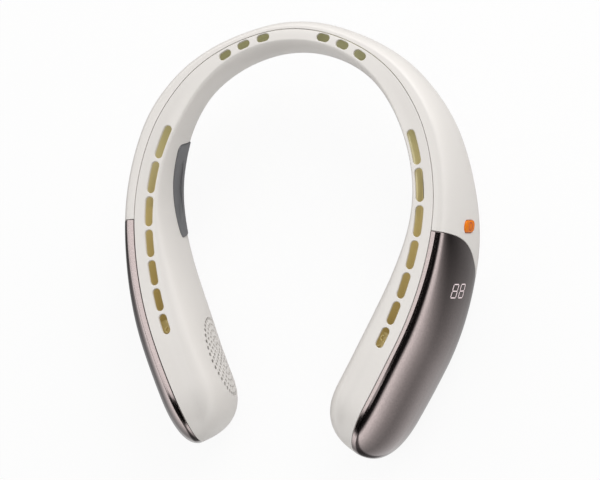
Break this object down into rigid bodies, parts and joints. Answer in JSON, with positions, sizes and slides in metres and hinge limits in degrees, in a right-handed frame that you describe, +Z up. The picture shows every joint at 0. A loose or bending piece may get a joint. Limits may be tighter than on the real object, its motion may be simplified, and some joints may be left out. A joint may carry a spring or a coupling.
{
  "type": "neck fan",
  "caption": "Rigid U-shaped neck fan with air slots along its top edge, a blower in the end of each arm, cooling plates, a power button and a charge display.",
  "frame": {"origin": "middle of the bounding box, on the surface that the arms rest on", "axes": "+Z up, +Y behind the neck with the arms pointing to -Y, +X to the wearer's right"},
  "size_m": [0.194, 0.2275, 0.0529],
  "materials": {
    "shell": "satin",
    "cover": "gloss",
    "duct": "matte",
    "cooling_plate": "satin",
    "peltier": "matte",
    "heat_sink": "satin",
    "blower_case": "matte",
    "impeller": "satin",
    "magnet": "satin",
    "steel": "satin",
    "bearing": "satin",
    "winding": "satin",
    "board": "satin",
    "battery": "satin",
    "tray": "matte",
    "digits": "gloss",
    "button": "gloss",
    "switch": "matte",
    "wire": "satin"
  },
  "bodies": {
    "frame": {"inner_shell": "shell", "outer_shell": "shell", "left_cover": "cover", "right_cover": "cover", "left_duct": "duct", "right_duct": "duct", "left_cooling_plate": "cooling_plate", "right_cooling_plate": "cooling_plate", "left_peltier": "peltier", "right_peltier": "peltier", "left_heat_sink": "heat_sink", "right_heat_sink": "heat_sink", "left_blower_housing": "blower_case", "right_blower_housing": "blower_case", "left_inlet_ring": "blower_case", "right_inlet_ring": "blower_case", "left_bearing": "bearing", "right_bearing": "bearing", "left_stator": "winding", "right_stator": "winding", "left_motor_board": "board", "right_motor_board": "board", "left_battery": "battery", "right_battery": "battery", "left_battery_tray": "tray", "right_battery_tray": "tray", "main_board": "board", "cooling_board": "board", "display_board": "board", "display_digits": "digits", "button_board": "board", "button_switch": "switch", "usb_port": "steel", "wire_loom": "wire", "shell_screws": "steel"},
    "power_button": {"power_button": "button"},
    "left_fan": {"left_impeller": "impeller", "left_magnet_ring": "magnet", "left_motor_shaft": "steel"},
    "right_fan": {"right_impeller": "impeller", "right_magnet_ring": "magnet", "right_motor_shaft": "steel"}
  },
  "joints": [
    {"name": "power_button_press", "type": "slide", "parent": "frame", "child": "power_button", "axis": [-0.9897, 0.0305, -0.1402], "range_m": [0, 0.0003], "stiffness_N_per_m": 2000, "springref_m": -0.0002},
    {"name": "left_impeller_spin", "type": "hinge", "parent": "frame", "child": "left_fan", "pos_m": [-0.05124, -0.07175, 0.02397], "axis": [-0.9034, -0.4288, 0], "continuous": true},
    {"name": "right_impeller_spin", "type": "hinge", "parent": "frame", "child": "right_fan", "pos_m": [0.05124, -0.07175, 0.02397], "axis": [-0.9034, 0.4288, 0], "continuous": true}
  ]
}
